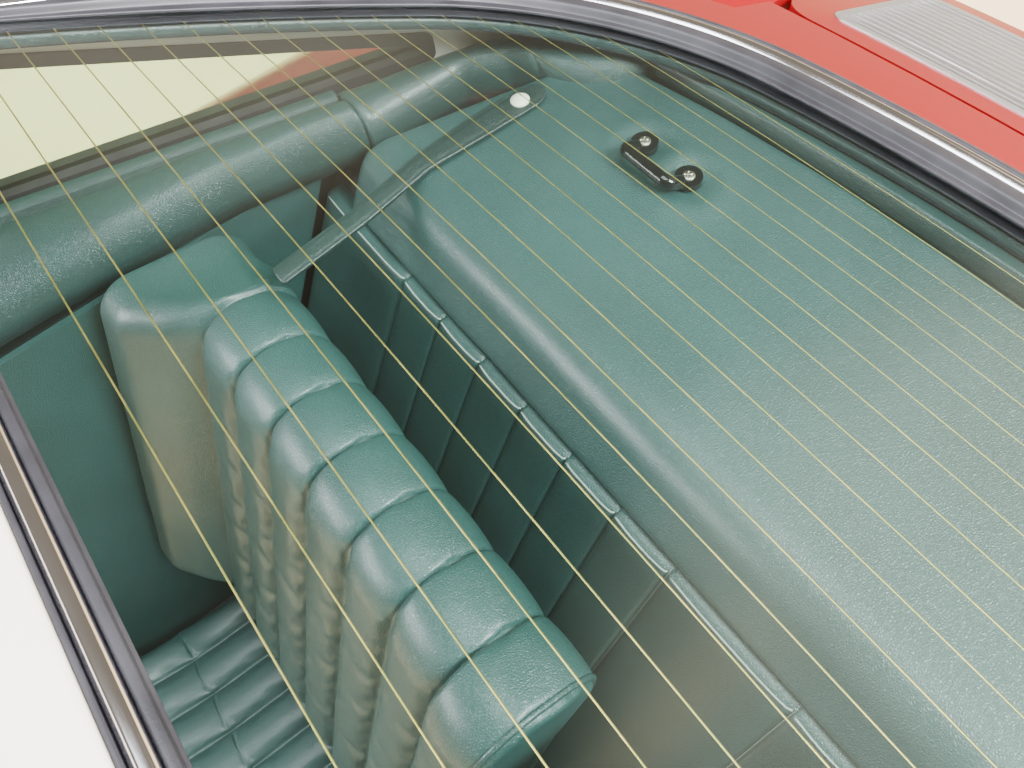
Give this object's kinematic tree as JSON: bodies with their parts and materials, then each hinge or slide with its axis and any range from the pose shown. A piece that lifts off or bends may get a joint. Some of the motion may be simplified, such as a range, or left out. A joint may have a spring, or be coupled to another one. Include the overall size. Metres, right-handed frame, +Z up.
{
  "type": "rear cabin section of a two-plus-two sports coupe",
  "caption": "Rear cabin section of a sports coupe: ribbed folding rear seat, padded luggage shelf with strap loops, pleated lining and a sloping heated rear window in its body frame.",
  "frame": {"origin": "on the centreline, on the underside of the floor, under the front ridge of the luggage shelf", "axes": "+X to the car's left, -Y the way the car drives, +Z up"},
  "size_m": [1.537, 1.2503, 0.9047],
  "materials": {
    "leatherette": "grained, satin",
    "leatherette_roll": "grained, stuffed, satin",
    "strap_leather": "smooth, worn",
    "green_tinted_glass": "polished, heated, green tint",
    "seal_rubber": "moulded, matt",
    "bright_trim": "polished",
    "red_paint": "gloss enamel",
    "black_primer": "satin primer",
    "grille_aluminium": "silver anodised",
    "board_paint": "satin",
    "zinc_steel": "zinc plated",
    "snap_cap": "polished",
    "black_gloss": "gloss"
  },
  "bodies": {
    "cabin": {"bulkhead_lining": "leatherette", "engine_air_grille": "grille_aluminium", "floor_pan": "black_primer", "hinge_bracket_inner_left": "zinc_steel", "hinge_bracket_inner_right": "zinc_steel", "hinge_bracket_outer_left": "zinc_steel", "hinge_bracket_outer_right": "zinc_steel", "hinge_rod_left": "zinc_steel", "hinge_rod_right": "zinc_steel", "hold_strap_left": "strap_leather", "hold_strap_right": "strap_leather", "lashing_loop_left": "black_gloss", "lashing_loop_right": "black_gloss", "quarter_glass_left": "green_tinted_glass", "quarter_glass_right": "green_tinted_glass", "quarter_seal_left": "seal_rubber", "quarter_seal_right": "seal_rubber", "rear_bulkhead": "black_primer", "rear_deck": "red_paint", "rear_wall": "black_primer", "rear_window_glass": "green_tinted_glass", "rear_window_seal": "seal_rubber", "rear_window_trim": "bright_trim", "seat_cushion_left": "leatherette", "seat_cushion_right": "leatherette", "shelf_pad": "leatherette", "shelf_panel": "black_primer", "shelf_roll": "leatherette_roll", "side_frame_left": "red_paint", "side_frame_right": "red_paint", "side_shell_left": "red_paint", "side_shell_right": "red_paint", "side_trim_left": "leatherette", "side_trim_right": "leatherette", "sill_roll_left": "leatherette_roll", "sill_roll_right": "leatherette_roll", "snap_cap_left": "snap_cap", "snap_cap_right": "snap_cap", "snap_stud_left": "snap_cap", "snap_stud_right": "snap_cap", "window_frame": "red_paint"},
    "backrest_right": {"backrest_pad_right": "leatherette", "backrest_board_right": "board_paint"},
    "backrest_left": {"backrest_pad_left": "leatherette", "backrest_board_left": "board_paint"}
  },
  "joints": [
    {"name": "backrest_right_fold", "type": "hinge", "parent": "cabin", "child": "backrest_right", "pos_m": [-0.242, -0.28, 0.232], "axis": [1, 0, 0], "range_deg": [0, 84]},
    {"name": "backrest_left_fold", "type": "hinge", "parent": "cabin", "child": "backrest_left", "pos_m": [0.242, -0.28, 0.232], "axis": [1, 0, 0], "range_deg": [0, 84]}
  ]
}
